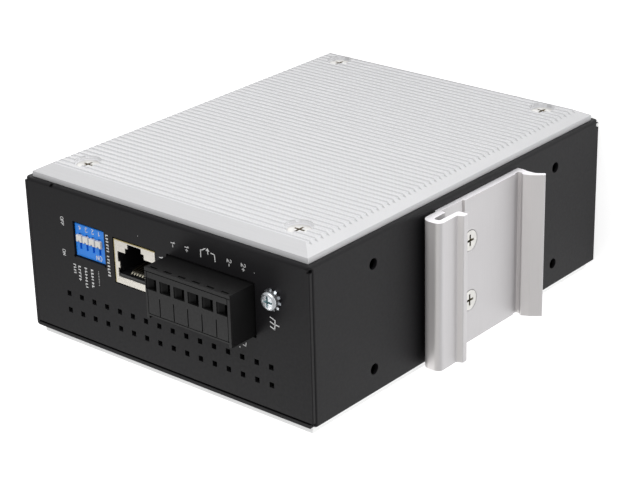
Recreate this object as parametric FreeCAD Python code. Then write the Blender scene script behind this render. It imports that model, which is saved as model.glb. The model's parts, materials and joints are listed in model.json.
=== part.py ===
import FreeCAD, Part
import math
import os
from FreeCAD import Vector as V

os.makedirs("parts", exist_ok=True)

# ---------------------------------------------------------------- dimensions
# millimetres. The unit stands as it does on a rail: X width, -Y front with
# the ports, +Y rear with the rail clip, +Z up. Origin: middle of the bottom.
CASE_W, CASE_D, CASE_H = 46.2, 105.0, 135.0     # black steel box
SHEET = 1.0                                     # case sheet thickness
SEAM = 0.08                                     # gap along the sheet seams
PANEL_T = 3.7                                   # ribbed side panel, overall
PANEL_EDGE = (1.6, 2.3)                         # edge thickness, left and right panel
PANEL_INSET = 1.65                              # panel outline inside the box outline
PANEL_BEVEL = 4.0                               # width of the sloping border
RIB_PITCH, RIB_GROOVES = 2.305, 54
RIB_DEPTH, RIB_TOP_W, RIB_FLOOR_W = 0.7, 1.15, 0.5
SIDE_SCREW_Y, SIDE_SCREW_Z = (-39.9, 38.5), (9.4, 122.1)
SIDE_SEAT = 2.6                                 # screw seat height above the box side
WALL_HOLE_X, WALL_HOLE_Z, WALL_HOLE_R = (-14.95, 15.85), (23.1, 109.2), 1.6
VENT_X, VENT_Y0, VENT_PITCH, VENT_N, VENT_SIDE = (9.13, 14.37), -37.6, 5.08, 16, 1.6
TOP_END, CORNER_R = 21.5, 0.9                   # free edge of the top sheet; fold radius
BRK_X0, BRK_X1 = -21.0, 23.0                    # rail bracket along X
BRK_SCREWS = ((-8.0, 68.6), (10.2, 68.6))
BRK_FLOOR = 54.7                                # front of the bracket plate at the screws
GND = (-11.0, 40.1)                             # ground screw, X and Y
DIP_C, DIP_POLE = (-8.55, -27.95), 2.54          # slide-switch block centre, pole pitch
DIP_TOP, DIP_TRAVEL, DIP_OFF_X = 134.4, 2.0, -9.4
DIP_SLOT = (-10.8, -5.95)                       # lever slots along X
JACK_Y, JACK_X0, JACK_X1, JACK_TOP, JACK_HALF = -10.15, -12.95, 0.15, 134.85, 7.85
PLUG_Y, PLUG_PITCH, PLUG_POLES = 18.05, 5.08, 6
PLUG_X0, PLUG_X1, PLUG_TOP, PLUG_SHOULDER = -13.3, 0.7, 144.0, 127.8
IO_X0, IO_X1 = 0.15, 1.75                       # upper board faces
MB_X0, MB_X1 = 16.5, 18.1                       # main board faces
PORT_Z0, PORT_PITCH, PORT_ROWS = 22.0, 14.0, 4  # front port block
PORT_LEN, PORT_X0 = 57.2, -9.35

XI = CASE_W / 2
YI = CASE_D / 2
H = CASE_H


# ------------------------------------------------------------------- helpers
def box(x0, y0, z0, x1, y1, z1):
    return Part.makeBox(x1 - x0, y1 - y0, z1 - z0, V(x0, y0, z0))


def rod(p, axis, r, length):
    d = {"x": V(1, 0, 0), "y": V(0, 1, 0), "z": V(0, 0, 1)}[axis]
    if length < 0:
        d = d * -1
        length = -length
    return Part.makeCylinder(r, length, V(*p), d)


def cone(p, d, r0, r1, length):
    return Part.makeCone(r0, r1, length, V(*p), V(*d))


def fuse(items):
    s = items[0]
    if len(items) > 1:
        s = s.fuse(items[1:])
    return s.removeSplitter()


def cut(s, tools):
    return s.cut(tools) if tools else s


def extr(points, direction):
    w = Part.makePolygon([V(*q) for q in points] + [V(*points[0])])
    return Part.Face(w).extrude(V(*direction))


def round_edges(s, r, pick):
    es = [e for e in s.Edges if pick(e)]
    return s.makeFillet(r, es)


def ends(e):
    return [v.Point for v in e.Vertexes]


def on(e, **kw):
    """True if the edge is straight and both ends lie on the given planes."""
    p = ends(e)
    if len(p) != 2:
        return False
    for k, val in kw.items():
        if any(abs(getattr(q, k) - val) > 1e-4 for q in p):
            return False
    return True


def cross(p, d, size, width, depth):
    """Cross recess cut from point p inwards along d."""
    d = V(*d)
    d.normalize()
    a = V(0, 1, 0) if abs(d.x) > 0.5 else V(1, 0, 0)
    b = d.cross(a)
    out = []
    for u, w in ((a, b), (b, a)):
        q = [V(*p) + u * (i * size / 2) + w * (j * width / 2)
             for i, j in ((-1, -1), (1, -1), (1, 1), (-1, 1))]
        t = [V(*p) + d * depth + u * (i * size * 0.22) + w * (j * width / 2)
             for i, j in ((-1, -1), (1, -1), (1, 1), (-1, 1))]
        w0 = Part.makePolygon(q + [q[0]])
        w1 = Part.makePolygon(t + [t[0]])
        out.append(Part.makeLoft([w0, w1], True, True))
    return out[0].fuse(out[1])


def save(name, items):
    if not isinstance(items, (list, tuple)):
        items = [items]
    solids = []
    for s in items:
        solids += s.Solids
    for s in solids:
        assert s.isValid() and s.Volume > 0.001, name
    shape = solids[0] if len(solids) == 1 else Part.makeCompound(solids)
    shape.exportStep("parts/%s.step" % name)
    print("%-24s %2d solids  %9.1f mm3" % (name, len(solids), shape.Volume))


def pan_screw(p, d, head_r, head_h, shank_r, length, recess=2.9):
    """Pan head screw; p is the middle of the face under the head, d points to the tip."""
    d = V(*d)
    p = V(*p)
    head = Part.makeCylinder(head_r, head_h, p, d * -1)
    top = p - d * head_h
    rim = [e for e in head.Edges if e.Closed and (e.CenterOfMass - top).Length < 1e-3]
    head = head.makeFillet(min(head_h, head_r) * 0.45, rim)
    shank = Part.makeCylinder(shank_r, length, p, d)
    s = head.fuse(shank).removeSplitter()
    return s.cut(cross(tuple(top), tuple(d), recess, 0.62, head_h * 0.6))


# -------------------------------------------------------------- case: cover
side = box(-XI, -YI, 0, -XI + SHEET, YI, H)
top = box(-XI, -YI + SHEET + SEAM, H - SHEET, TOP_END, YI, H)
rear = box(-XI, YI - SHEET, 0, XI, YI, H - SHEET - SEAM)
cover = fuse([side, top])
cover = round_edges(cover, 0.95, lambda e: on(e, x=-XI, z=H) and abs(e.Length) > 50)
rear_b = round_edges(rear, 0.95, lambda e: on(e, x=-XI, y=YI))
# the rear sheet's top edge rolls inwards under the top sheet
rear_b = round_edges(rear_b, CORNER_R, lambda e: on(e, y=YI, z=H - SHEET - SEAM) and e.Length > 20)
rear_b = round_edges(rear_b, 0.55, lambda e: on(e, x=XI, y=YI))
# the rear edge of the side plate follows the same fold
corner = cut(box(-XI - 1, YI - 0.95, -1, -XI + 0.95, YI + 1, H + 1),
             [rod((-XI + 0.95, YI - 0.95, -2), "z", 0.95, H + 4)])
cover = cut(cover, [corner]).fuse(rear_b).removeSplitter()
cover = round_edges(cover, 0.2, lambda e: on(e, y=YI, z=H) and e.Length > 20)

cuts = []
# windows in the top
dx1, dy0, dy1 = DIP_C[0] + 5.1, DIP_C[1] - 6.05, DIP_C[1] + 6.3
cuts.append(box(DIP_C[0] - 5.6, dy0, H - 3, dx1, dy1, H + 1))
for yy in (dy0 + 0.1, dy1 - 0.1):
    cuts.append(rod((dx1 - 0.05, yy, H - 3), "z", 0.42, 5))         # corner reliefs of the window
cuts.append(box(JACK_X0 - 0.45, JACK_Y - JACK_HALF - 0.25, H - 3, JACK_X1 + 0.25, JACK_Y + JACK_HALF + 0.35, H + 1))
cuts.append(box(PLUG_X0 - 0.5, PLUG_Y - 15.8, H - 3, PLUG_X1 + 1.4, PLUG_Y + 15.8, H + 1))
cuts.append(rod((GND[0], GND[1], H - 3), "z", 1.6, 5))
h = VENT_SIDE / 2
for vx in VENT_X:
    for k in range(VENT_N):
        vy = VENT_Y0 + k * VENT_PITCH
        cuts.append(box(vx - h, vy - h, H - 3, vx + h, vy + h, H + 1))
# rear wall holes
for hx in WALL_HOLE_X:
    for hz in WALL_HOLE_Z:
        cuts.append(rod((hx, YI - 3, hz), "y", WALL_HOLE_R, 5))
for bx, bz in BRK_SCREWS:
    cuts.append(rod((bx, YI - 3, bz), "y", 1.6, 5))
# relief notches where the flanges meet
cuts.append(box(-XI + 0.9, YI - 0.9, H - 1.35, -XI + 1.8, YI + 1, H + 1))
cuts.append(box(-XI - 1, -42.4, H - 0.9, -XI + 0.8, -41.3, H + 1))
cuts.append(box(-XI + 1.0, YI - 1.1, -1, -XI + 2.3, YI + 1, 1.2))
for yc, zc in ((YI, 0), (YI, H), (-YI, 0), (-YI, H)):        # clipped corners of the folded side
    sy, sz = (1 if yc > 0 else -1), (1 if zc > 0 else -1)
    cuts.append(extr([(-XI - 1, yc + sy, zc + sz), (-XI - 1, yc - sy * 1.7, zc + sz), (-XI - 1, yc - sy * 1.7, zc),
                      (-XI - 1, yc - sy * 0.5, zc - sz * 0.35), (-XI - 1, yc, zc - sz * 1.3), (-XI - 1, yc + sy, zc - sz * 1.3)],
                     (1.9, 0, 0)))
for sy in SIDE_SCREW_Y:
    for sz in SIDE_SCREW_Z:
        cuts.append(rod((-XI - 1, sy, sz), "x", 1.85, 3))
save("case_cover", cut(cover, cuts))

# --------------------------------------------------------------- case: tray
plate = box(XI - SHEET, -YI, 0, XI, YI - SHEET - SEAM, H)
front = box(-XI + SHEET + SEAM, -YI, 0, XI, -YI + SHEET, H)
floor = box(-XI + SHEET + SEAM, -YI, 0, XI, YI - SHEET - SEAM, SHEET)
tray = fuse([plate, front, floor])
tray = round_edges(tray, 0.95, lambda e: on(e, x=XI, y=-YI) or on(e, x=XI, z=0))
cuts = []
port_z1 = PORT_Z0 + PORT_LEN
cuts.append(box(PORT_X0 - 0.3, -YI - 1, PORT_Z0 - 0.3, MB_X0 + 0.2, -YI + 3, port_z1 + 0.3))
LED_X, LED_Z = 12.6, [88.5 + 6.0 * k for k in range(5)]
for lz in LED_Z:
    cuts.append(rod((LED_X, -YI - 1, lz), "y", 1.6, 3))
for sy in SIDE_SCREW_Y:
    for sz in SIDE_SCREW_Z:
        cuts.append(rod((XI - 2, sy, sz), "x", 1.85, 3))
save("case_tray", cut(tray, cuts))


# ------------------------------------------------------- ribbed side panels
def side_panel(s):
    y1 = YI - PANEL_INSET
    z0, z1 = PANEL_INSET, H - PANEL_INSET
    xa, xb, xc = XI, XI + PANEL_EDGE[0 if s < 0 else 1], XI + PANEL_T
    b = PANEL_BEVEL
    base = box(xa, -y1, z0, xb, y1, z1)
    w0 = Part.makePolygon([V(xb, -y1, z0), V(xb, y1, z0), V(xb, y1, z1), V(xb, -y1, z1), V(xb, -y1, z0)])
    w1 = Part.makePolygon([V(xc, -y1 + b, z0 + b), V(xc, y1 - b, z0 + b),
                           V(xc, y1 - b, z1 - b), V(xc, -y1 + b, z1 - b), V(xc, -y1 + b, z0 + b)])
    p = base.fuse(Part.makeLoft([w0, w1], True, True)).removeSplitter()
    tools = []
    mid = H / 2
    for k in range(RIB_GROOVES):
        zc = mid + (k - (RIB_GROOVES - 1) / 2) * RIB_PITCH
        a, c = RIB_TOP_W / 2, RIB_FLOOR_W / 2
        tools.append(extr([(xc + 0.3, -y1 - 1, zc - a - 0.14), (xc + 0.3, -y1 - 1, zc + a + 0.14),
                           (xc - RIB_DEPTH, -y1 - 1, zc + c), (xc - RIB_DEPTH, -y1 - 1, zc - c)],
                          (0, 2 * y1 + 2, 0)))
    seat = XI + SIDE_SEAT
    for sy in SIDE_SCREW_Y:
        for sz in SIDE_SCREW_Z:
            tools.append(rod((seat, sy, sz), "x", 3.9, 4))
            tools.append(rod((XI - 1, sy, sz), "x", 1.85, 6))
            tools.append(cone((seat - 1.85, sy, sz), (1, 0, 0), 1.75, 3.3, 1.55))
            tools.append(rod((seat - 0.3, sy, sz), "x", 3.3, 2))
    p = p.cut(tools)
    if s < 0:
        p = p.mirror(V(0, 0, 0), V(1, 0, 0))
    return p


save("side_panel_left", side_panel(-1))
save("side_panel_right", side_panel(1))

screws = []
for s in (-1, 1):
    for sy in SIDE_SCREW_Y:
        for sz in SIDE_SCREW_Z:
            x = XI + SIDE_SEAT
            q = rod((x - 0.3, sy, sz), "x", 3.2, 0.3)
            q = q.fuse([cone((x - 1.8, sy, sz), (1, 0, 0), 1.7, 3.2, 1.5), rod((x - 9.6, sy, sz), "x", 1.7, 7.8)]).removeSplitter()
            q = q.cut(cross((x + 0.001, sy, sz), (-1, 0, 0), 3.7, 0.75, 1.3))
            if s < 0:
                q = q.mirror(V(0, 0, 0), V(1, 0, 0))
            screws.append(q)
save("side_panel_screws", screws)

pillars = []
for sy in SIDE_SCREW_Y:
    for sz in SIDE_SCREW_Z:
        pts = [(-XI + SHEET, sy + 3.2 * math.cos(math.radians(60 * k)), sz + 3.2 * math.sin(math.radians(60 * k))) for k in range(6)]
        q = extr(pts, (2 * (XI - SHEET), 0, 0))
        q = q.cut([rod((-XI, sy, sz), "x", 1.75, 9.5), rod((XI, sy, sz), "x", 1.75, -9.5)])
        pillars.append(q)
save("case_pillars", pillars)

# --------------------------------------------------------------- rail bracket
# profile in Y-Z, run along X
prof = [                                              # y, z, corner radius
    (52.5, 42.7, 0.25), (52.5, 82.2, 0.15), (53.15, 82.6, 0.25),      # back of the plate
    (53.1, 89.35, 2.7), (59.4, 89.25, 1.9), (59.3, 81.35, 0.45), (61.1, 80.7, 0.5), (61.0, 78.55, 0.5),
    (57.7, 78.65, 1.0), (57.55, 87.0, 0.75), (55.55, 87.0, 0.75),     # the hook and its slot
    (55.55, 81.5, 0.35), (53.9, 81.35, 0.3), (54.2, 71.95, 0.05), (53.85, 71.85, 0.05), (53.85, 71.5, 0.05),
    (BRK_FLOOR, 71.45, 0.08),
    (BRK_FLOOR, 46.9, 0.06), (54.3, 46.8, 0.06), (54.35, 45.15, 0.2), (55.45, 45.1, 0.3), (56.55, 46.1, 0.5),
    (58.9, 45.05, 2.0), (62.0, 42.75, 0.4), (61.2, 41.55, 0.35), (58.8, 43.15, 1.6), (56.0, 43.15, 1.0), (54.6, 42.7, 1.0)]


def outline(points):
    """Closed wire of straight lines and tangent arcs; points are (y, z, radius)."""
    n = len(points)
    segs, tans = [], []
    for k in range(n):
        a, b, c = [V(0, q[0], q[1]) for q in (points[k - 1], points[k], points[(k + 1) % n])]
        u, w = (a - b), (c - b)
        u.normalize()
        w.normalize()
        ang = u.getAngle(w)
        r = points[k][2]
        t = r / math.tan(ang / 2)
        p0, p1 = b + u * t, b + w * t
        m = u + w
        m.normalize()
        mid = b + m * (r / math.sin(ang / 2) - r)
        tans.append((p0, mid, p1))
    for k in range(n):
        p0, mid, p1 = tans[k]
        segs.append(Part.Arc(p0, mid, p1).toShape())
        nxt = tans[(k + 1) % n][0]
        assert (nxt - p1).Length > 1e-3, (k, "corner radii overlap")
        segs.append(Part.LineSegment(p1, nxt).toShape())
    return Part.Wire(segs)


w = outline(prof)
w.translate(V(BRK_X0, 0, 0))
bracket = Part.Face(w).extrude(V(BRK_X1 - BRK_X0, 0, 0))
tools = []
for bx, bz in BRK_SCREWS:
    tools.append(rod((bx, YI - 1, bz), "y", 1.65, 5))
    tools.append(cone((bx, BRK_FLOOR - 1.65, bz), (0, 1, 0), 1.65, 3.3, 1.65))
    tools.append(rod((bx, BRK_FLOOR - 0.05, bz), "y", 3.3, 1))
bracket = bracket.cut(tools)
save("rail_bracket", bracket)

bscrews = []
for bx, bz in BRK_SCREWS:
    q = cone((bx, BRK_FLOOR - 1.6, bz), (0, 1, 0), 1.5, 3.0, 1.5)
    q = q.fuse(rod((bx, 46.8, bz), "y", 1.5, BRK_FLOOR - 1.6 - 46.8)).removeSplitter()
    q = q.cut(cross((bx, BRK_FLOOR - 0.099, bz), (0, -1, 0), 3.6, 0.7, 1.2))
    bscrews.append(q)
save("bracket_screws", bscrews)

# bowed strip in the hook slot that presses down on the rail
pts = []
n = 14
sx0, sx1 = BRK_X0 + 2.5, BRK_X1 - 2.5
for k in range(n + 1):
    t = k / n
    pts.append((sx0 + (sx1 - sx0) * t, 85.75 - 2.6 * math.sin(math.pi * t)))
low = [(x, 55.85, z - 0.25) for x, z in pts]
up = [(x, 55.85, z + 0.25) for x, z in reversed(pts)]
save("rail_spring", extr(low + up, (0, 1.25, 0)))

# ---------------------------------------------------------- clinch nuts
nuts = []
for bx, bz in BRK_SCREWS:
    q = rod((bx, YI - SHEET, bz), "y", 3.0, -2.6).cut(rod((bx, YI, bz), "y", 1.55, -8))
    nuts.append(q)
q = rod((GND[0], GND[1], H - SHEET), "z", 3.0, -2.6).cut(rod((GND[0], GND[1], H), "z", 1.55, -8))
nuts.append(q)
save("clinch_nuts", nuts)

# --------------------------------------------------------- ground screw
save("ground_screw", pan_screw((GND[0], GND[1], H + 0.5), (0, 0, -1), 2.6, 1.9, 1.5, 7.5, 3.4))
ring = rod((GND[0], GND[1], H), "z", 2.35, 0.5)
teeth = []
for k in range(10):
    a = math.radians(36 * k + 8)
    u = V(math.cos(a), math.sin(a), 0)
    w = V(-math.sin(a), math.cos(a), 0)
    c = V(GND[0], GND[1], H)
    q = [c + u * 2.1 + w * 0.42, c + u * 3.1 + w * 0.36, c + u * 3.1 - w * 0.36, c + u * 2.1 - w * 0.42]
    teeth.append(Part.Face(Part.makePolygon(q + [q[0]])).extrude(V(0, 0, 0.5)))
washer = ring.fuse(teeth).removeSplitter().cut(rod((GND[0], GND[1], H - 1), "z", 1.56, 3))
save("ground_washer", washer)

# ---------------------------------------------------------------- boards
MB_Y0, MB_Y1, MB_Z0, MB_Z1 = -50.6, 48.0, 14.0, 116.0
IO_Y0, IO_Y1, IO_Z0, IO_Z1 = -36.5, 34.4, 92.0, 127.0
STAND = [(-44.0, 18.0), (44.0, 18.0), (-44.0, 84.0), (44.0, 108.0), (-16.0, 62.0), (44.0, 60.0)]
SPACER = [(-32.0, 98.0), (30.0, 98.0), (-32.0, 111.0), (30.0, 110.0)]
mb = box(MB_X0, MB_Y0, MB_Z0, MB_X1, MB_Y1, MB_Z1)
mb = mb.cut([rod((MB_X0 - 1, y, z), "x", 1.6, 4) for y, z in STAND + SPACER])
save("main_board", mb)
PINS_Y = [PLUG_Y + (k - 2.5) * PLUG_PITCH for k in range(PLUG_POLES)]
DPIN = [(DIP_C[1] + (k - 2.5) * 2.0) for k in range(6)]
io = box(IO_X0, IO_Y0, IO_Z0, IO_X1, IO_Y1, IO_Z1)
io = io.cut([rod((IO_X0 - 1, y, z), "x", 1.6, 4) for y, z in SPACER]
            + [rod((IO_X0 - 1, y, 116.0), "x", 0.8, 4) for y in PINS_Y]
            + [rod((IO_X0 - 1, y, 124.0), "x", 0.5, 4) for y in DPIN])
save("io_board", io)


def hexrod(x0, x1, y, z, r, hole):
    pts = [(x0, y + r * math.cos(math.radians(60 * k)), z + r * math.sin(math.radians(60 * k))) for k in range(6)]
    return extr(pts, (x1 - x0, 0, 0)).cut(rod((x0 - 1, y, z), "x", hole, x1 - x0 + 2))


save("board_standoffs", [hexrod(MB_X1, XI - SHEET, y, z, 3.0, 1.55) for y, z in STAND])
save("board_spacers", [hexrod(IO_X1, MB_X0, y, z, 3.0, 1.55) for y, z in SPACER])
bs = [pan_screw((MB_X0, y, z), (1, 0, 0), 2.75, 2.0, 1.5, 5.2) for y, z in STAND]
bs += [pan_screw((IO_X0, y, z), (1, 0, 0), 2.75, 2.0, 1.5, 5.2) for y, z in SPACER]
bs += [pan_screw((MB_X1, y, z), (-1, 0, 0), 2.75, 2.0, 1.5, 5.2) for y, z in SPACER]
save("board_screws", bs)

# chips and the like
save("switch_chip", box(MB_X1, 4.0, 44.0, MB_X1 + 2.4, 28.0, 68.0))
save("thermal_pad", box(MB_X1 + 2.4, 6.0, 46.0, XI - SHEET, 26.0, 66.0))
save("port_magnetics", [round_edges(box(MB_X0 - 6.2, -22.0, z, MB_X0, -8.0, z + 24.0), 0.6,
                                    lambda e: on(e, x=MB_X0 - 6.2)) for z in (24.0, 70.0)])
save("power_module", round_edges(box(IO_X0 - 11.0, -12.0, 94.5, IO_X0, 8.0, 112.0), 0.8,
                                 lambda e: on(e, x=IO_X0 - 11.0)))
caps = []
for cy in (14.0, 23.5):
    q = rod((IO_X0, cy, 103.0), "x", 4.0, -11.5)
    q = q.makeFillet(0.6, [e for e in q.Edges if e.Closed and abs(e.CenterOfMass.x - (IO_X0 - 11.5)) < 1e-3])
    caps.append(q)
save("power_capacitors", caps)
save("fault_relay", round_edges(box(IO_X0 - 9.5, -25.5, 94.5, IO_X0, -15.5, 110.0), 0.5,
                                lambda e: on(e, x=IO_X0 - 9.5)))
# link between the two boards
save("board_link_header", box(IO_X1, -8.0, 93.5, IO_X1 + 2.6, 12.4, 98.6))
save("board_link_socket", box(IO_X1 + 2.7, -8.0, 93.5, MB_X0, 12.4, 98.6)
     .cut([box(IO_X1 + 2.6, -6.78 + 2.54 * i - 0.4, 94.78 + 2.54 * j - 0.4, IO_X1 + 9.0,
               -6.78 + 2.54 * i + 0.4, 94.78 + 2.54 * j + 0.4) for i in range(8) for j in range(2)]))
hdr = box(IO_X1, -8.0, 93.5, IO_X1 + 2.6, 12.4, 98.6)
pins = []
for i in range(8):
    for j in range(2):
        y, z = -6.78 + 2.54 * i, 94.78 + 2.54 * j
        pins.append(box(IO_X1, y - 0.32, z - 0.32, IO_X1 + 8.6, y + 0.32, z + 0.32))
hdr = hdr.cut(pins)
hdr.exportStep("parts/board_link_header.step")
save("board_link_pins", pins)


# ------------------------------------------------------------ RJ sockets
def mouth(c, u, w, n, d, deep, a=5.95, grow=0.0, steps=((3.35, 7.5, 9.3), (2.25, 9.2, 10.75))):
    """Socket mouth as a tool. c: middle of the wide edge's line, u: unit across
    the wide side, w: towards the latch notch, n: inwards. All V."""
    def slab(hu, w0, w1, depth):
        q = [c + u * i * (hu + grow) + w * j for i, j in ((-1, w0 - grow), (1, w0 - grow), (1, w1 + grow), (-1, w1 + grow))]
        q = [p - n * 1.0 for p in q]
        return Part.Face(Part.makePolygon(q + [q[0]])).extrude(n * (depth + 1.0))
    return slab(a, 0.0, 7.6, deep).fuse([slab(*q, d) for q in steps]).removeSplitter()


# console socket: opening looks up, latch notch towards -X
jc = V(-1.85, JACK_Y, JACK_TOP)
u, w, n = V(0, 1, 0), V(-1, 0, 0), V(0, 0, -1)
J_BOT = JACK_TOP - 21.0
shell = box(JACK_X0, JACK_Y - JACK_HALF, J_BOT, JACK_X1, JACK_Y + JACK_HALF, JACK_TOP)
inner = box(JACK_X0 + 0.3, JACK_Y - JACK_HALF + 0.3, J_BOT - 1, JACK_X1 - 0.3, JACK_Y + JACK_HALF - 0.3, JACK_TOP - 0.3)
hole = mouth(jc, u, w, n, 3, 3, 6.6, 0.0, ((3.6, 7.3, 9.1), (2.6, 9.0, 10.55)))
tabs = [box(-6.4, JACK_Y + t * 6.35 - 0.45, JACK_TOP - 0.3, -4.5, JACK_Y + t * 6.35 + 0.45, JACK_TOP) for t in (-1, 1)]
shield = shell.cut([inner, hole.cut(tabs)])
save("console_shield", shield)
body = box(JACK_X0 + 0.3, JACK_Y - JACK_HALF + 0.3, J_BOT, JACK_X1 - 0.3, JACK_Y + JACK_HALF - 0.3, JACK_TOP - 0.3)
body = body.cut(mouth(V(-2.75, JACK_Y, JACK_TOP), u, w, n, 9.0, 14.0, 6.3, 0.0, ((3.4, 6.5, 8.2), (2.45, 8.1, 9.5))))
lead = []
for t in (-1, 1):                                  # pockets beside the shield tabs
    for xa, xb in ((-8.9, -6.5), (-4.4, -2.75)):
        lead.append(box(xa, JACK_Y + t * 6.45 - 0.25, JACK_TOP - 1.6, xb, JACK_Y + t * 6.45 + 0.25, JACK_TOP))
body = body.cut(lead)
grooves = []
contacts = []
for k in range(8):
    y = JACK_Y + (k - 3.5) * 1.016
    z0 = JACK_TOP - 1.95
    grooves.append(box(-2.85, y - 0.32, JACK_TOP - 13.9, -2.0, y + 0.32, JACK_TOP - 1.05))
    q = [(-2.35, z0), (-2.75, z0 - 0.05), (-3.45, z0 - 0.95), (-4.9, z0 - 11.0), (-4.5, z0 - 11.06), (-3.05, z0 - 1.15), (-2.35, z0 - 0.45)]
    contacts.append(extr([(x, y - 0.2, z) for x, z in q], (0, 0.4, 0)))
body = body.cut(grooves)
save("console_housing", body)
save("console_contacts", [c.cut(body) if c.common(body).Volume > 1e-6 else c for c in contacts])

# front port block: openings look forward, two columns back to back
PY0, PY1 = -YI - 0.15, -26.0
PX0, PX1 = PORT_X0, MB_X0
PZ1 = PORT_Z0 + PORT_LEN
shell = box(PX0, PY0, PORT_Z0, PX1, PY1, PZ1)
inner = box(PX0 + 0.3, PY0 + 0.3, PORT_Z0 + 0.3, PX1 + 1, PY1 + 1, PZ1 - 0.3)
mid = (PX0 + PX1) / 2
tools, deep, lights, pcont, grv = [], [], [], [], []
for r in range(PORT_ROWS):
    zc = PORT_Z0 + PORT_LEN / 2 + (r - 1.5) * PORT_PITCH
    for s in (-1, 1):
        c = V(mid + s * 1.55, zc * 0 + PY0, zc)
        u, w, n = V(0, 0, 1), V(s, 0, 0), V(0, 1, 0)
        tools.append(mouth(c, u, w, n, 3, 3, 6.1))
        deep.append(mouth(c, u, w, n, 8.0, 14.0, 5.9))
        for t in (-1, 1):
            a = mid + s * (1.55 + 9.0)
            b = a + s * 1.5
            lights.append((min(a, b), zc + t * 4.55, max(a, b)))
        for k in range(8):
            z = zc + (k - 3.5) * 1.016
            x = mid + s * 1.55
            grv.append(box(min(x + s * 0.02, x - s * 0.85), PY0 + 1.2, z - 0.3, max(x + s * 0.02, x - s * 0.85), PY0 + 13.9, z + 0.3))
            y0 = PY0 + 2.6
            q = [(x - s * 0.3, y0), (x + s * 0.1, y0 + 0.9), (x + s * 3.0, y0 + 10.6), (x + s * 2.6, y0 + 10.72),
                 (x - s * 0.3, y0 + 1.05), (x - s * 0.65, y0 + 0.1)]
            pcont.append(extr([(xx, yy, z - 0.2) for xx, yy in q], (0, 0, 0.4)))
lamp = [box(a, PY0 - 0.02, z - 1.2, b, PY0 + 3.0, z + 1.2) for a, z, b in lights]
shield = shell.cut([inner] + tools + lamp)
save("port_shield", shield)
body = box(PX0 + 0.3, PY0 + 0.3, PORT_Z0 + 0.3, PX1, PY1 - 0.1, PZ1 - 0.3).cut(deep + lamp)
body = body.cut(grv)
save("port_housing", body)
save("port_contacts", pcont)
save("port_lights", lamp)

# status lights in the front
save("light_holder", box(LED_X - 2.6, -YI + SHEET, LED_Z[0] - 3.0, MB_X0, -46.5, LED_Z[-1] + 3.0)
     .cut([rod((LED_X, -YI, z), "y", 1.5, 8) for z in LED_Z]))
leds = []
for z in LED_Z:
    q = rod((LED_X, -YI - 0.5, z), "y", 1.45, 5.5)
    q = q.makeFillet(0.7, [e for e in q.Edges if e.Closed and abs(e.CenterOfMass.y - (-YI - 0.5)) < 1e-3])
    leds.append(q)
save("status_lights", leds)

# ----------------------------------------------------------- DIP slide switch
dx, dy = DIP_C
DB_Z0, DB_Z1 = 127.8, 129.0
body = box(dx - 4.95, dy - 5.9, DB_Z1, dx + 4.95, dy + 5.9, DIP_TOP)
body = round_edges(body, 0.2, lambda e: on(e, z=DIP_TOP))
poles = [dy + (1.5 - k) * DIP_POLE for k in range(4)]           # 1 is nearest the console socket
slots = [box(DIP_SLOT[0], y - 0.42, DIP_TOP - 0.7, DIP_SLOT[1], y + 0.42, DIP_TOP + 1) for y in poles]
save("dip_body", body.cut(slots))
for k, y in enumerate(poles):
    x = DIP_OFF_X
    stem = box(x - 0.85, y - 0.32, DIP_TOP - 0.6, x + 0.75, y + 0.32, DIP_TOP + 0.1)
    cap = box(x - 0.95, y - 1.05, DIP_TOP + 0.06, x + 1.1, y + 1.05, DIP_TOP + 0.85)
    cap = round_edges(cap, 0.2, lambda e: on(e, z=DIP_TOP + 0.85))
    cap = cap.cut([box(x + 0.9, y - 0.4, DIP_TOP - 1, x + 2, y + 0.4, DIP_TOP + 2),
                   rod((x + 0.9, y, DIP_TOP - 0.5), "z", 0.4, 3)])
    save("dip_lever_%d" % (k + 1), cap.fuse(stem).removeSplitter())
save("dip_board", box(dx - 6.2, dy - 6.6, DB_Z0, dx + 6.2, dy + 6.6, DB_Z1))
dp = []
for y in DPIN:
    dp.append(extr([(-3.9, y - 0.25, DB_Z0), (-3.4, y - 0.25, DB_Z0), (-3.4, y - 0.25, 124.25), (2.6, y - 0.25, 124.25),
                    (2.6, y - 0.25, 123.75), (-3.9, y - 0.25, 123.75)], (0, 0.5, 0)))
save("dip_board_pins", dp)

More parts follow.
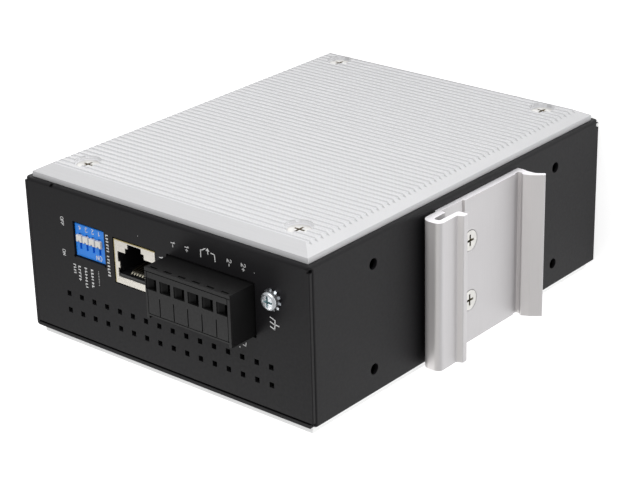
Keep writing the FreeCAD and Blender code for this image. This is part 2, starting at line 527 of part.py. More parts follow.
# ------------------------------------------------- pluggable terminal block
py0, py1 = PLUG_Y - 3 * PLUG_PITCH, PLUG_Y + 3 * PLUG_PITCH
plug = box(PLUG_X0, py0 + 0.9, PLUG_SHOULDER, PLUG_X1, py1 - 0.9, PLUG_TOP)
endw = [box(PLUG_X0, py0, 129.5, PLUG_X1 + 0.9, py0 + 0.9, PLUG_TOP),
        box(PLUG_X0, py1 - 0.9, 129.5, PLUG_X1 + 0.9, py1, PLUG_TOP)]
nose = box(-10.6, py0 + 1.0, 118.6, -1.1, py1 - 1.0, PLUG_SHOULDER)
plug = fuse([plug, nose] + endw)
tools = []
cages, cscr = [], []
for y in PINS_Y:
    tools.append(box(-10.45, y - 1.65, 134.2, -7.05, y + 1.65, 141.6))              # wire opening
    tools.append(extr([(-10.45, y - 2.25, PLUG_TOP + 1), (-10.45, y + 1.65, PLUG_TOP + 1), (-10.45, y + 1.65, 141.5),
                       (-10.45, y - 0.65, 141.5), (-10.45, y - 0.65, 142.5), (-10.45, y - 2.25, PLUG_TOP - 0.35)], (3.4, 0, 0)))
    tools.append(box(-11.5, y - 2.15, 137.0, -6.3, y + 2.15, 141.6))                # cage pocket
    tools.append(rod((PLUG_X1 + 1, y, 139.3), "x", 1.95, -7.1))                     # screwdriver hole
    tools.append(rod((-5.3, y, 139.3), "x", 1.3, -1.2))
    tools.append(box(-6.6, y - 0.6, 118.0, -5.2, y + 0.6, 127.2))                   # pin socket
    tools.append(box(PLUG_X0 - 1, y - 1.25, 142.6, PLUG_X0 + 0.7, y + 1.35, 143.3)) # slot in the -X side
    cage = box(-11.45, y - 2.1, 137.05, -6.35, y + 2.1, 141.55)
    cage = cage.cut([box(-10.45, y - 1.6, 136, -7.15, y + 1.6, 143), rod((-8, y, 139.3), "x", 1.28, 3)])
    cages.append(cage)
    sc = rod((-7.1, y, 139.3), "x", 1.22, 2.1).fuse(rod((-5.0, y, 139.3), "x", 1.85, 2.0)).removeSplitter()
    sc = sc.cut(box(-3.7, y - 2.5, 139.0, -2.5, y + 2.5, 139.6))
    cscr.append(sc)
for k in range(5):
    y = PLUG_Y + (k - 2) * PLUG_PITCH
    tools.append(box(-5.2, y - 0.17, PLUG_TOP - 0.6, -0.1, y + 0.17, PLUG_TOP + 1))
tools.append(box(-12.35, py0 - 1, PLUG_TOP - 0.25, -12.1, py1 + 1, PLUG_TOP + 1))
tools.append(box(0.0, py0 + 0.7, PLUG_TOP - 0.3, 0.22, py1 - 0.7, PLUG_TOP + 1))
for y in (py0 + 0.8, py1 - 1.0):
    tools.append(box(-12.1, y - 0.1, PLUG_TOP - 0.3, 0.2, y + 0.1, PLUG_TOP + 1))
plug = plug.cut(tools)
save("terminal_plug", plug)
save("clamp_cages", cages)
save("clamp_screws", cscr)
header = box(-11.8, py0 - 0.2, 114.6, IO_X0, py1 + 0.2, PLUG_SHOULDER)
hp = []
for y in PINS_Y:
    hp.append(extr([(-6.4, y - 0.5, 126.2), (-5.4, y - 0.5, 126.2), (-5.4, y - 0.5, 116.5), (2.9, y - 0.5, 116.5),
                    (2.9, y - 0.5, 115.5), (-6.4, y - 0.5, 115.5)], (0, 1.0, 0)))
header = header.cut([box(-10.75, py0 + 0.85, 118.0, -0.95, py1 - 0.85, PLUG_SHOULDER + 1)] + hp)
save("terminal_header", header)
save("terminal_pins", hp)
print("done")
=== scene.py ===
import bpy
import json
import math
import random
from mathutils import Matrix, Vector


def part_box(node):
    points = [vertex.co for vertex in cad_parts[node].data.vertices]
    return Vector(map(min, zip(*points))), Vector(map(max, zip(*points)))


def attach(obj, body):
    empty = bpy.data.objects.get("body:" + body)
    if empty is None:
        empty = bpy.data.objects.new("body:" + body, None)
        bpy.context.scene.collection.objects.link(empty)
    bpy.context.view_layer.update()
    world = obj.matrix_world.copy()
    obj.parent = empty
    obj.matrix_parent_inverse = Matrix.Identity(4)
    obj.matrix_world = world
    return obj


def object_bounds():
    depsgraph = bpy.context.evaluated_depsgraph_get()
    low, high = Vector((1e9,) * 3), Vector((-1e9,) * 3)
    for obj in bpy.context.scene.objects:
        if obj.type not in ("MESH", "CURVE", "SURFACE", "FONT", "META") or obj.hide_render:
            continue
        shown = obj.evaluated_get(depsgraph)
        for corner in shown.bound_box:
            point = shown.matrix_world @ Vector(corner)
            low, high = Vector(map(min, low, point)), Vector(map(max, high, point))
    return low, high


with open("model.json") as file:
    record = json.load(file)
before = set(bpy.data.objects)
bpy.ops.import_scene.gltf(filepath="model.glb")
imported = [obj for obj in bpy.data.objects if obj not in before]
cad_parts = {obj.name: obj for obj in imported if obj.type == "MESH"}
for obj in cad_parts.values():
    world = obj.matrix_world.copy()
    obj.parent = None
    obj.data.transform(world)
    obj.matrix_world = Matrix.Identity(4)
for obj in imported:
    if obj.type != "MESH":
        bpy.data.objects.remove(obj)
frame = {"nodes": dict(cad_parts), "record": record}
cad_lo, cad_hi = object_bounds()
N = frame["nodes"]
SC = bpy.context.scene
MM = 0.001
SC.view_settings.view_transform = "Standard"
SC.view_settings.look = "None"
SC.view_settings.exposure = 0.0
SC.view_settings.gamma = 1.0


# ------------------------------------------------------------------ materials
def mat(name, base, rough, metallic=0.0, spec=0.5, coat=0.0, coat_rough=0.1):
    m = bpy.data.materials.new(name)
    m.use_nodes = True
    nt = m.node_tree
    nt.nodes.clear()
    out = nt.nodes.new("ShaderNodeOutputMaterial")
    b = nt.nodes.new("ShaderNodeBsdfPrincipled")
    nt.links.new(b.outputs["BSDF"], out.inputs["Surface"])
    b.inputs["Base Color"].default_value = (*base, 1)
    b.inputs["Roughness"].default_value = rough
    b.inputs["Metallic"].default_value = metallic
    b.inputs["Specular IOR Level"].default_value = spec
    b.inputs["Coat Weight"].default_value = coat
    b.inputs["Coat Roughness"].default_value = coat_rough
    m.diffuse_color = (*base, 1)
    return m, nt, b


def coords(nt, scale=(1, 1, 1)):
    tc = nt.nodes.new("ShaderNodeTexCoord")
    mp = nt.nodes.new("ShaderNodeMapping")
    mp.inputs["Scale"].default_value = scale
    nt.links.new(tc.outputs["Object"], mp.inputs["Vector"])
    return mp.outputs["Vector"]


def noise(nt, vec, scale, detail=2.0, rough=0.5):
    n = nt.nodes.new("ShaderNodeTexNoise")
    n.inputs["Scale"].default_value = scale
    n.inputs["Detail"].default_value = detail
    n.inputs["Roughness"].default_value = rough
    nt.links.new(vec, n.inputs["Vector"])
    return n.outputs["Fac"]


def ramp(nt, fac, c0, c1, p0=0.0, p1=1.0):
    r = nt.nodes.new("ShaderNodeValToRGB")
    r.color_ramp.elements[0].position = p0
    r.color_ramp.elements[1].position = p1
    r.color_ramp.elements[0].color = (*c0, 1)
    r.color_ramp.elements[1].color = (*c1, 1)
    nt.links.new(fac, r.inputs["Fac"])
    return r.outputs["Color"]


def span(nt, fac, lo, hi, a=0.3, b=0.7):
    r = nt.nodes.new("ShaderNodeMapRange")
    r.inputs["From Min"].default_value = a
    r.inputs["From Max"].default_value = b
    r.inputs["To Min"].default_value = lo
    r.inputs["To Max"].default_value = hi
    nt.links.new(fac, r.inputs["Value"])
    return r.outputs["Result"]


def bump(nt, b, height, strength, dist, normal=None):
    n = nt.nodes.new("ShaderNodeBump")
    n.inputs["Strength"].default_value = strength
    n.inputs["Distance"].default_value = dist
    nt.links.new(height, n.inputs["Height"])
    if normal is not None:
        nt.links.new(normal, n.inputs["Normal"])
    nt.links.new(n.outputs["Normal"], b.inputs["Normal"])
    return n.outputs["Normal"]


def powder(name, base, var, rough=0.5, spec=0.5, grain=1900.0, strength=0.28):
    """Fine powder coat: small orange-peel grain, slow tone drift, patchy gloss."""
    m, nt, b = mat(name, base, rough, 0.0, spec)
    v = coords(nt)
    slow = noise(nt, v, 12.0, 2.0)
    fine = noise(nt, v, grain, 3.0, 0.6)
    mid = noise(nt, v, grain * 0.6, 2.0)
    lo = tuple(c * (1 - var) for c in base)
    hi = tuple(c * (1 + var) for c in base)
    nt.links.new(ramp(nt, slow, lo, hi, 0.3, 0.7), b.inputs["Base Color"])
    nt.links.new(span(nt, mid, rough - 0.03, rough + 0.04), b.inputs["Roughness"])
    bump(nt, b, fine, strength, 0.00003)
    return m


def math_node(nt, op, a, b=None, c=None):
    n = nt.nodes.new("ShaderNodeMath")
    n.operation = op
    for k, v in enumerate((a, b, c)):
        if v is None:
            continue
        if isinstance(v, (int, float)):
            n.inputs[k].default_value = v
        else:
            nt.links.new(v, n.inputs[k])
    return n.outputs[0]


def mix_colour(nt, fac, a, b):
    n = nt.nodes.new("ShaderNodeMix")
    n.data_type = "RGBA"
    nt.links.new(fac, n.inputs[0])
    for sock, v in ((n.inputs[6], a), (n.inputs[7], b)):
        if isinstance(v, tuple):
            sock.default_value = (*v, 1)
        else:
            nt.links.new(v, sock)
    return n.outputs[2]


def xyz(nt, output="Object"):
    tc = nt.nodes.new("ShaderNodeTexCoord")
    sp = nt.nodes.new("ShaderNodeSeparateXYZ")
    nt.links.new(tc.outputs[output], sp.inputs[0])
    return sp.outputs[0], sp.outputs[1], sp.outputs[2]


def socket_source(b, name):
    return b.inputs[name].links[0].from_socket


def ribbed_with_painted_light(name, base, lift, plateau, y_half, z0, z1, low=1.0, **kw):
    """Bead-blasted panel with painted light: the groove bottoms are painted lighter, standing in for light bouncing
    between their walls.
    """
    m = drawn(name, base, "y", **kw)
    nt = m.node_tree
    b = next(n for n in nt.nodes if n.type == "BSDF_PRINCIPLED")
    x, y, z = xyz(nt)
    # painted shade: the base colour is painted slowly darker towards the bottom end, standing in for the light falling
    # off there
    drift = mix_colour(nt, span(nt, z, 0.0, 1.0, 0.0, 0.13), (low, low, low), (1.0, 1.0, 1.0))
    mul = nt.nodes.new("ShaderNodeMix")
    mul.data_type = "RGBA"
    mul.blend_type = "MULTIPLY"
    mul.inputs[0].default_value = 1.0
    nt.links.new(socket_source(b, "Base Color"), mul.inputs[6])
    nt.links.new(drift, mul.inputs[7])
    src = mul.outputs[2]
    ax = math_node(nt, "ABSOLUTE", x)
    deep = span(nt, ax, 1.0, 0.0, plateau - 0.00030, plateau - 0.00006)
    inside = math_node(nt, "LESS_THAN", math_node(nt, "ABSOLUTE", y), y_half)
    za = math_node(nt, "GREATER_THAN", z, z0)
    zb = math_node(nt, "LESS_THAN", z, z1)
    # painted light: the groove bottoms of the ribbed field are painted lighter, a little less so towards the bottom
    # end
    painted_groove_light_mask = math_node(nt, "MULTIPLY", math_node(nt, "MULTIPLY", deep, inside), math_node(nt, "MULTIPLY", za, zb))
    near = span(nt, z, 0.0, 1.0, z0, z1)
    painted_groove_light = mix_colour(nt, near, tuple(min(0.97, c * lift[0] * low) for c in base), tuple(min(0.97, c * lift[1]) for c in base))
    nt.links.new(mix_colour(nt, painted_groove_light_mask, src, painted_groove_light), b.inputs["Base Color"])
    return m


def recess_shaded(name, base, recess_shade, axis, sign, plane, near=None, **kw):
    """Plated metal with painted shade: its recess, below a plane and near an axis if one is given, is painted darker
    where shade falls.
    """
    m = plated(name, base, **kw)
    nt = m.node_tree
    b = next(n for n in nt.nodes if n.type == "BSDF_PRINCIPLED")
    src = socket_source(b, "Base Color")
    xs = xyz(nt)
    c = xs[axis]
    if sign == 0:
        c = math_node(nt, "ABSOLUTE", c)
    low = span(nt, c, 1.0, 0.0, plane - 0.00022, plane - 0.00004)
    if near:
        px, py, r = near
        dx = math_node(nt, "SUBTRACT", xs[0], px)
        dy = math_node(nt, "SUBTRACT", xs[1], py)
        d2 = math_node(nt, "ADD", math_node(nt, "MULTIPLY", dx, dx), math_node(nt, "MULTIPLY", dy, dy))
        low = math_node(nt, "MULTIPLY", low, math_node(nt, "LESS_THAN", d2, r * r))
    nt.links.new(mix_colour(nt, low, src, recess_shade), b.inputs["Base Color"])
    return m


def cut_ends_painted_lit(m, axis, end):
    """Saw-cut ends of an extrusion, painted brighter and cooler than the drawn faces: partly the bare cut metal,
    partly a painted highlight of the lamp light on them.
    """
    nt = m.node_tree
    b = next(n for n in nt.nodes if n.type == "BSDF_PRINCIPLED")
    src = socket_source(b, "Base Color")
    n = xyz(nt, "Normal")[axis]
    f = span(nt, math_node(nt, "ABSOLUTE", n), 0.0, 1.0, 0.90, 0.97)
    nt.links.new(mix_colour(nt, f, src, end), b.inputs["Base Color"])
    return m


def tint(m, colour, ranges, soft=0.00008):
    """Another tone inside a box given as axis: (low, high) in metres; a soft border."""
    nt = m.node_tree
    b = next(n for n in nt.nodes if n.type == "BSDF_PRINCIPLED")
    src = socket_source(b, "Base Color")
    c = xyz(nt)
    f = None
    for axis, (lo, hi) in ranges.items():
        up = span(nt, c[axis], 0.0, 1.0, lo - soft, lo + soft)
        down = span(nt, c[axis], 1.0, 0.0, hi - soft, hi + soft)
        g = math_node(nt, "MULTIPLY", up, down)
        f = g if f is None else math_node(nt, "MULTIPLY", f, g)
    nt.links.new(mix_colour(nt, f, src, colour), b.inputs["Base Color"])
    return m


def painted_light_facing(m, axis, a, b_, colour, side=None):
    """Painted light: a lighter tone on faces that look along +axis, standing in for light falling on them, on one side
    of the part if one is given.
    """
    nt = m.node_tree
    b = next(n for n in nt.nodes if n.type == "BSDF_PRINCIPLED")
    src = socket_source(b, "Base Color")
    f = span(nt, xyz(nt, "Normal")[axis], 0.0, 1.0, a, b_)
    if side is not None:
        f = math_node(nt, "MULTIPLY", f, math_node(nt, "GREATER_THAN", xyz(nt)[side], 0.0))
    nt.links.new(mix_colour(nt, f, src, colour), b.inputs["Base Color"])
    return m


def drawn(name, base, along, rough=0.35, metallic=0.9, var=0.05, strength=0.25, spec=0.5, blast=0.0):
    """Drawn or extruded metal: fine lines along one axis, soft cloudy sheen."""
    m, nt, b = mat(name, base, rough, metallic, spec)
    s = {"x": (1.0, 60.0, 60.0), "y": (60.0, 1.0, 60.0), "z": (60.0, 60.0, 1.0)}[along]
    v = coords(nt, s)
    lines = noise(nt, v, 60.0, 4.0, 0.6)
    v2 = coords(nt)
    cloud = noise(nt, v2, 38.0, 3.0)
    fine = noise(nt, v2, 4200.0, 2.0)
    lo = tuple(c * (1 - var) for c in base)
    hi = tuple(min(1.0, c * (1 + var)) for c in base)
    nt.links.new(ramp(nt, lines, lo, hi, 0.32, 0.68), b.inputs["Base Color"])
    nt.links.new(span(nt, cloud, rough - 0.05, rough + 0.07), b.inputs["Roughness"])
    n1 = bump(nt, b, lines, strength, 0.00002)
    if blast:
        bump(nt, b, fine, blast, 0.00002, n1)
    return m


def plastic(name, base, rough=0.4, spec=0.5, var=0.10, grain=1400.0, strength=0.12, coat=0.0):
    m, nt, b = mat(name, base, rough, 0.0, spec, coat)
    v = coords(nt)
    slow = noise(nt, v, 90.0, 3.0)
    fine = noise(nt, v, grain, 3.0)
    lo = tuple(c * (1 - var) for c in base)
    hi = tuple(min(1.0, c * (1 + var)) for c in base)
    nt.links.new(ramp(nt, slow, lo, hi, 0.3, 0.7), b.inputs["Base Color"])
    nt.links.new(span(nt, fine, rough - 0.05, rough + 0.06), b.inputs["Roughness"])
    bump(nt, b, fine, strength, 0.00003)
    return m


def plated(name, base, rough=0.28, var=0.08, metallic=1.0, scale=500.0):
    m, nt, b = mat(name, base, rough, metallic, 0.5)
    v = coords(nt)
    a = noise(nt, v, scale, 4.0)
    c = noise(nt, v, scale * 4, 2.0)
    lo = tuple(x * (1 - var) for x in base)
    hi = tuple(min(1.0, x * (1 + var)) for x in base)
    nt.links.new(ramp(nt, a, lo, hi, 0.3, 0.7), b.inputs["Base Color"])
    nt.links.new(span(nt, c, rough - 0.06, rough + 0.10), b.inputs["Roughness"])
    bump(nt, b, a, 0.10, 0.00003)
    return m


M = {}
M["case_black"] = powder("case_black", (0.0105, 0.0100, 0.0112), 0.04, 0.48, 0.18)
# painted light on the side panels: lift 1.25-1.28 paints the groove bottoms lighter, 0.93 paints the bottom end darker
M["panel_aluminium"] = ribbed_with_painted_light("panel_aluminium", (0.640, 0.640, 0.650), (1.25, 1.28), 0.0268, 0.0470, 0.0056, 0.1294, 0.93,
                             rough=0.50, metallic=0.35, var=0.02, strength=0.10, blast=0.16)
# painted light: on the right side panel, faces looking up and faces looking along +Y are painted lighter
painted_light_facing(M["panel_aluminium"], 2, 0.90, 0.97, (0.90, 0.90, 0.90), 0)
painted_light_facing(M["panel_aluminium"], 1, 0.90, 0.97, (0.98, 0.98, 0.98), 0)
# painted light on the rail bracket: faces looking up get a lighter warm tone, the saw-cut ends are painted near white
M["bracket_aluminium"] = cut_ends_painted_lit(painted_light_facing(drawn("bracket_aluminium", (0.575, 0.562, 0.570), "x", 0.42, 0.50, 0.02, 0.14, 0.5, 0.10),
                                         2, 0.45, 1.0, (0.90, 0.87, 0.86)), 0, (0.97, 0.95, 0.98))
M["screw_zinc"] = plated("screw_zinc", (0.70, 0.72, 0.75), 0.22)
M["spring_steel"] = plated("spring_steel", (0.34, 0.34, 0.35), 0.30)
M["spacer_brass"] = plated("spacer_brass", (0.72, 0.60, 0.32), 0.30)
M["steel_nut"] = plated("steel_nut", (0.55, 0.56, 0.57), 0.32)
M["chip_black"] = plastic("chip_black", (0.020, 0.020, 0.022), 0.45)
M["pad_grey"] = plastic("pad_grey", (0.40, 0.42, 0.45), 0.7)
M["module_dark"] = plastic("module_dark", (0.022, 0.022, 0.025), 0.42)
M["capacitor_sleeve"] = plastic("capacitor_sleeve", (0.016, 0.020, 0.045), 0.25, coat=0.2)
M["relay_case"] = plastic("relay_case", (0.70, 0.67, 0.58), 0.35)
M["contact_gold"] = plated("contact_gold", (0.93, 0.70, 0.30), 0.20, 0.05, 1.0, 900.0)
M["pin_tin"] = plated("pin_tin", (0.68, 0.68, 0.67), 0.30)
M["shield_nickel"] = drawn("shield_nickel", (0.69, 0.66, 0.60), "y", 0.30, 0.75, 0.03, 0.10, 0.5, 0.08)
M["socket_black"] = plastic("socket_black", (0.010, 0.010, 0.011), 0.36)
M["light_lens"] = plastic("light_lens", (0.60, 0.66, 0.58), 0.18, coat=0.3)
M["dip_blue"] = plastic("dip_blue", (0.012, 0.235, 0.840), 0.36, 0.4, 0.05, 1600.0, 0.10)
M["lever_white"] = plastic("lever_white", (0.78, 0.76, 0.72), 0.38, 0.5, 0.03)
M["plug_black"] = plastic("plug_black", (0.0090, 0.0088, 0.0090), 0.42, 0.26, 0.06, 1500.0, 0.16)


def board(name):
    m, nt, b = mat(name, (0.02, 0.13, 0.06), 0.35, 0.0, 0.5, 0.15)
    v = coords(nt)
    br = nt.nodes.new("ShaderNodeTexBrick")
    br.inputs["Scale"].default_value = 190.0
    br.inputs["Mortar Size"].default_value = 0.03
    br.inputs["Color1"].default_value = (0.018, 0.120, 0.055, 1)
    br.inputs["Color2"].default_value = (0.022, 0.150, 0.066, 1)
    br.inputs["Mortar"].default_value = (0.040, 0.240, 0.110, 1)
    sw = nt.nodes.new("ShaderNodeMapping")
    sw.inputs["Rotation"].default_value = (0, math.pi / 2, 0)
    nt.links.new(v, sw.inputs["Vector"])
    nt.links.new(sw.outputs["Vector"], br.inputs["Vector"])
    nt.links.new(br.outputs["Color"], b.inputs["Base Color"])
    bump(nt, b, noise(nt, v, 1200.0, 2.0), 0.08, 0.00003)
    return m


M["board_green"] = board("board_green")
slot_of = {s["node"]: s["material_slot"] for s in frame["record"]["subparts"]}
SPECIAL = {
    # painted shade: the cross recesses of the side panel and bracket screws are painted dark warm grey
    "side_panel_screws": recess_shaded("screw_zinc_panel", (0.74, 0.73, 0.71), (0.30, 0.26, 0.18), 0, 0, 0.02570, rough=0.34, metallic=0.7),
    "bracket_screws": recess_shaded("screw_zinc_bracket", (0.70, 0.69, 0.66), (0.24, 0.22, 0.15), 1, 1, 0.05460, rough=0.34, metallic=0.7),
    # painted shade in the ground screw's cross recess, with a blue-teal cast for the bluish reflections seen in it
    "ground_screw": recess_shaded("screw_zinc_ground", (0.74, 0.77, 0.80), (0.42, 0.58, 0.60), 2, 1, 0.13722, (-0.0110, 0.0401, 0.0017), rough=0.24, metallic=0.9),
    # painted light on the console contacts: pale, almost non-metallic white-gold for bright glints, painted near-black
    # shade deeper in (x below -3 mm)
    "console_contacts": tint(plated("contact_gold_console", (0.95, 0.90, 0.72), 0.30, 0.04, 0.10), (0.020, 0.016, 0.010),
                             {0: (-0.0200, -0.00300)}, 0.00022),
    # painted shade: the insides of the plug's wire openings are painted near-black
    "terminal_plug": tint(plastic("plug_black_body", (0.0090, 0.0088, 0.0090), 0.42, 0.26, 0.06, 1500.0, 0.16), (0.0012, 0.0012, 0.0012),
                          {0: (-0.01065, -0.00685), 1: (0.0034, 0.0327), 2: (0.1300, 0.1434)}),
    "console_shield": tint(tint(drawn("shield_nickel_console", (0.69, 0.66, 0.60), "y", 0.30, 0.75, 0.03, 0.10, 0.5, 0.08),
                                (0.40, 0.33, 0.15), {0: (-0.0140, -0.01266)}, 0.00005), (0.40, 0.33, 0.15), {1: (-0.0190, -0.01775)}, 0.00005),
}
for name, o in N.items():
    m = SPECIAL.get(name, M[slot_of[name]])
    o.data.materials.clear()
    o.data.materials.append(m)

# small edge rounding so that edges catch the light; the CAD mesh is untouched
BEVEL = {"case_cover": 0.12, "case_tray": 0.12, "side_panel_left": 0.10, "side_panel_right": 0.10,
         "rail_bracket": 0.16, "terminal_plug": 0.10, "terminal_header": 0.10, "dip_body": 0.05,
         "console_shield": 0.05, "port_shield": 0.05, "ground_screw": 0.05, "ground_washer": 0.05,
         "side_panel_screws": 0.06, "bracket_screws": 0.06}
for name, w in BEVEL.items():
    o = N[name]
    bv = o.modifiers.new("edge", "BEVEL")
    bv.width = w * MM
    bv.segments = 2
    bv.limit_method = "ANGLE"
    bv.angle_limit = math.radians(38)
    bv.harden_normals = False
    bv.miter_outer = "MITER_ARC"
for o in N.values():
    wn = o.modifiers.new("normals", "WEIGHTED_NORMAL")
    wn.keep_sharp = True


# --------------------------------------------------------------------- print
def ink(name, base, rough=0.5):
    m, nt, b = mat(name, base, rough, 0.0, 0.4)
    v = coords(nt)
    f = noise(nt, v, 2600.0, 3.0, 0.6)
    nt.links.new(ramp(nt, f, tuple(c * 0.82 for c in base), base, 0.25, 0.6), b.inputs["Base Color"])
    bump(nt, b, f, 0.2, 0.00002)
    return m


WHITE = ink("print_white", (0.82, 0.82, 0.82))
FAINT = ink("print_faint", (0.72, 0.72, 0.72))


def mesh_piece(name, verts, faces, material, body="case"):
    me = bpy.data.meshes.new(name)
    me.from_pydata([tuple(v) for v in verts], [], faces)
    me.update()
    o = bpy.data.objects.new(name, me)
    SC.collection.objects.link(o)
    me.materials.append(material)
    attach(o, body)
    return o


class Print:
    """Flat strokes and characters on a plane, gathered into one thin mesh."""

    def __init__(self, origin, right, up, lift=0.025):
        self.o, self.r, self.u = Vector(origin), Vector(right), Vector(up)
        self.n = self.r.cross(self.u)
        self.o = self.o + self.n * lift
        self.v, self.f = [], []

    def poly(self, pts):
        k = len(self.v)
        t = 0.012
        for x, y in pts:
            self.v.append((self.o + self.r * x + self.u * y + self.n * t) * MM)
        for x, y in pts:
            self.v.append((self.o + self.r * x + self.u * y - self.n * t) * MM)
        n = len(pts)
        self.f.append(tuple(range(k, k + n)))
        self.f.append(tuple(range(k + 2 * n - 1, k + n - 1, -1)))
        for i in range(n):
            j = (i + 1) % n
            self.f.append((k + i, k + n + i, k + n + j, k + j))

    def stroke(self, a, b, w):
        a, b = Vector(a), Vector(b)
        d = b - a
        if d.length < 1e-6:
            return
        d.normalize()
        p = Vector((-d.y, d.x)) * (w / 2)
        e = d * (w * 0.25)
        self.poly([(q.x, q.y) for q in (a - e - p, b + e - p, b + e + p, a - e + p)])

    def path(self, pts, w):
        for a, b in zip(pts, pts[1:]):
            self.stroke(a, b, w)

    def dot(self, c, r, n=12):
        self.poly([(c[0] + r * math.cos(2 * math.pi * k / n), c[1] + r * math.sin(2 * math.pi * k / n)) for k in range(n)])

    GLYPH = {
        "0": [[(0.15, 0), (0.45, 0), (0.6, 0.2), (0.6, 0.8), (0.45, 1), (0.15, 1), (0, 0.8), (0, 0.2), (0.15, 0)]],
        "O": [[(0.18, 0), (0.5, 0), (0.68, 0.22), (0.68, 0.78), (0.5, 1), (0.18, 1), (0, 0.78), (0, 0.22), (0.18, 0)]],
        "1": [[(0.1, 0.75), (0.34, 1), (0.34, 0)]],
        "2": [[(0.02, 0.8), (0.16, 1), (0.46, 1), (0.6, 0.8), (0.55, 0.55), (0, 0), (0.62, 0)]],
        "3": [[(0.02, 0.88), (0.18, 1), (0.45, 1), (0.58, 0.85), (0.55, 0.62), (0.3, 0.52)], [(0.3, 0.52), (0.58, 0.4), (0.6, 0.15), (0.44, 0), (0.16, 0), (0, 0.14)]],
        "4": [[(0.46, 0), (0.46, 1), (0, 0.3), (0.64, 0.3)]],
        "5": [[(0.56, 1), (0.08, 1), (0.04, 0.56), (0.4, 0.6), (0.6, 0.4), (0.56, 0.14), (0.4, 0), (0.14, 0), (0, 0.12)]],
        "6": [[(0.54, 0.92), (0.38, 1), (0.16, 0.92), (0, 0.55), (0, 0.2), (0.16, 0), (0.44, 0), (0.6, 0.2), (0.56, 0.44), (0.4, 0.55), (0.14, 0.52), (0.02, 0.36)]],
        "7": [[(0, 1), (0.6, 1), (0.2, 0)]],
        "8": [[(0.3, 0.53), (0.08, 0.66), (0.06, 0.88), (0.2, 1), (0.4, 1), (0.54, 0.88), (0.52, 0.66), (0.3, 0.53), (0.04, 0.38), (0, 0.14), (0.16, 0), (0.44, 0), (0.6, 0.14), (0.56, 0.38), (0.3, 0.53)]],
        "N": [[(0, 0), (0, 1), (0.62, 0), (0.62, 1)]],
        "F": [[(0, 0), (0, 1), (0.56, 1)], [(0, 0.52), (0.46, 0.52)]],
        "+": [[(0.04, 0.45), (0.6, 0.45)], [(0.32, 0.17), (0.32, 0.73)]],
        "-": [[(0.06, 0.45), (0.5, 0.45)]],
    }
    ADV = {"1": 0.62, "+": 0.86, "-": 0.76, "O": 0.92, "N": 0.88, "F": 0.78}

    def text(self, s, centre, h, w=None):
        w = w or h * 0.16
        total = sum(self.ADV.get(c, 0.84) for c in s) * h - 0.22 * h
        x = centre[0] - total / 2
        y = centre[1] - h / 2
        for c in s:
            for p in self.GLYPH[c]:
                self.path([(x + a * h, y + b * h) for a, b in p], w)
            x += self.ADV.get(c, 0.84) * h

    def make(self, name, material, body="case"):
        return mesh_piece(name, self.v, self.f, material, body)


rnd = random.Random(7)
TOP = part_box("case_cover")[1].z / MM
p = Print((0, 0, TOP), (1, 0, 0), (0, 1, 0))
p.text("OFF", (-13.05, -38.2), 1.1, 0.18)
p.text("ON", (-3.45, -38.35), 1.1, 0.18)
for s, y in (("1-", 5.05), ("1+", 10.15), ("2-", 25.28), ("2+", 30.23)):
    p.text(s, (-17.2, y), 1.45, 0.22)
p.text("1", (-12.2, 0.3), 1.35, 0.22)
# relay contact between the two supplies
w = 0.30
p.path([(-16.2, 15.14), (-18.3, 15.18), (-18.37, 15.7), (-19.1, 16.9)], w)
p.poly([(-19.45, 17.7), (-18.5, 17.05), (-18.5, 18.35)])
p.path([(-18.5, 17.7), (-17.65, 17.8)], w)
p.path([(-18.24, 18.85), (-18.15, 20.1), (-16.2, 20.3)], w)
# chassis ground
p.path([(-5.1, 40.55), (-2.3, 40.35)], w)
for a in (-5.05, -3.7, -2.35):
    p.path([(a, 40.4), (a - 0.55, 38.85)], w)
p.path([(-3.8, 40.45), (-3.7, 41.85)], w)
# the end of a mark that the plug hides
p.path([(5.35, 29.0), (5.55, 29.9), (4.5, 30.1)], 0.24)
p.dot((6.4, 27.8), 0.2)
p.dot((-16.15, -8.2), 0.10)
p.dot((-16.7, 34.0), 0.10)
p.make("top_print", WHITE)

# plain dashes where the object carries words
p = Print((0, 0, TOP), (1, 0, 0), (0, 1, 0))


def dashes(x0, x1, y, h, n, gaps=()):
    """n short dashes from x0 to x1, upright on the line, with word gaps after the given ones."""
    cells = n + 0.6 * len(gaps)
    step = (x1 - x0) / cells
    x = x0
    for k in range(n):
        ln = step * rnd.uniform(0.30, 0.46)
        lo = rnd.uniform(-0.5, -0.36) * h
        hi = rnd.uniform(0.36, 0.5) * h
        p.poly([(x, y + lo), (x + ln, y + lo), (x + ln, y + hi), (x, y + hi)])
        if h > 0.6 and rnd.random() < 0.75:
            m = rnd.choice((lo + 0.12, 0.0, hi - 0.12))
            p.poly([(x + ln, y + m - 0.11), (x + step * 0.72, y + m - 0.11), (x + step * 0.72, y + m + 0.11), (x + ln, y + m + 0.11)])
        x += step * (1.6 if k in gaps else 1.0)


dashes(-0.9, 2.5, -34.35, 1.05, 4)
dashes(-0.8, 4.1, -32.45, 1.05, 5)
dashes(-0.9, 5.9, -29.9, 1.05, 7)
dashes(-1.0, 4.9, -27.35, 1.05, 6)
dashes(-1.1, 3.5, -24.75, 0.30, 10)
dashes(-13.35, -0.35, -20.4, 1.1, 13, (5,))
p.make("top_print_dashes", FAINT)

# figures on the slide switch
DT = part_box("dip_body")[1].z / MM
p = Print((0, 0, DT), (0, -1, 0), (1, 0, 0), 0.012)
lev = sorted(((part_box("dip_lever_%d" % k)[0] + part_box("dip_lever_%d" % k)[1]) / 2 / MM for k in (1, 2, 3, 4)), key=lambda c: -c.y)
for k, c in enumerate(lev):
    p.text(str(k + 1), (-c.y, -12.35), 1.35, 0.19)
p.text("ON", (24.75, -4.9), 1.4, 0.20)
p.make("switch_print", WHITE)

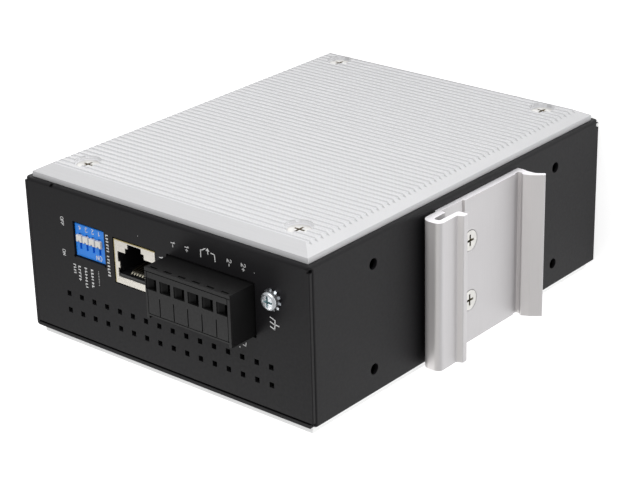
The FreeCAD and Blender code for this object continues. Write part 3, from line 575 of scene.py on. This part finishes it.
# front print
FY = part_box("case_tray")[0].y / MM
p = Print((0, FY, 0), (1, 0, 0), (0, 0, 1))
pb0, pb1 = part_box("port_shield")
zc = (pb0.z + pb1.z) / 2 / MM
for r in range(4):
    z = zc + (r - 1.5) * 14.0
    p.text(str(2 * r + 1), (pb0.x / MM - 2.3, z), 2.1)
    p.text(str(2 * r + 2), (pb1.x / MM + 2.3, z), 2.1)
lb0, lb1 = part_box("status_lights")
lx = (lb0.x + lb1.x) / 2 / MM
for k in range(5):
    z = lb0.z / MM + 1.45 + k * 6.0
    p.stroke((lx - 3.2, z), (lx - 6.6 - 0.5 * (k % 2), z), 0.9)
p.path([(-9.4, 84.4), (16.4, 84.4)], 0.25)
p.make("front_print", WHITE)

# --------------------------------------------------------------- floor, light
fm, fnt, fb = mat("studio_floor", (0.93, 0.93, 0.93), 0.75, 0.0, 0.2)
fv = coords(fnt)
fnt.links.new(ramp(fnt, noise(fnt, fv, 3.0, 2.0), (0.92, 0.92, 0.92), (0.94, 0.94, 0.94), 0.3, 0.7), fb.inputs["Base Color"])
fb.inputs["Emission Color"].default_value = (1, 1, 1, 1)
fb.inputs["Emission Strength"].default_value = 0.58
me = bpy.data.meshes.new("floor")
s = 4.0
me.from_pydata([(-s, -s, 0), (s, -s, 0), (s, s, 0), (-s, s, 0)], [], [(0, 1, 2, 3)])
floor = bpy.data.objects.new("floor", me)
SC.collection.objects.link(floor)
me.materials.append(fm)
floor.location.z = cad_lo.z - 0.00002

wd = bpy.data.worlds.new("world")
SC.world = wd
wd.use_nodes = True
bg = wd.node_tree.nodes["Background"]
bg.inputs["Color"].default_value = (1.0, 1.0, 1.0, 1)
bg.inputs["Strength"].default_value = 0.54

CENTRE = Vector((0, 0, 0.0675))


def area(name, loc, target, size, power, colour=(1, 1, 1), size_y=None):
    d = bpy.data.lights.new(name, "AREA")
    d.shape = "RECTANGLE"
    d.size = size
    d.size_y = size_y or size
    d.energy = power
    d.color = colour
    o = bpy.data.objects.new(name, d)
    o.location = loc
    o.rotation_euler = (Vector(target) - Vector(loc)).to_track_quat("-Z", "Y").to_euler()
    SC.collection.objects.link(o)
    return o


area("key", (-0.46, 0.05, 0.42), CENTRE, 0.45, 1.25)
area("low_front", (0.42, -0.38, 0.50), (0, 0, 0.13), 0.28, 0.62)
area("rear_fill", (-0.10, 0.75, 0.10), CENTRE, 0.6, 0.3)

# --------------------------------------------------------------------- camera
cam = bpy.data.cameras.new("camera")
cam.sensor_fit = "HORIZONTAL"
cam.sensor_width = 36.0
cam.lens = 107.24289474
cam.clip_start = 0.01
cam.clip_end = 50
co = bpy.data.objects.new("camera", cam)
right = Vector((0.0227675644, 0.7690186617, -0.6388207386))
down = Vector((0.9172354375, 0.2381192423, 0.3193405372))
fwd = Vector((0.3976943428, -0.5932196258, -0.6999497734))
loc = Vector((-219.0472057, 335.7324626, 464.6260460)) * MM
rot = Matrix((right, -down, -fwd)).transposed()
co.matrix_world = Matrix.Translation(loc) @ rot.to_4x4()
SC.collection.objects.link(co)
SC.camera = co
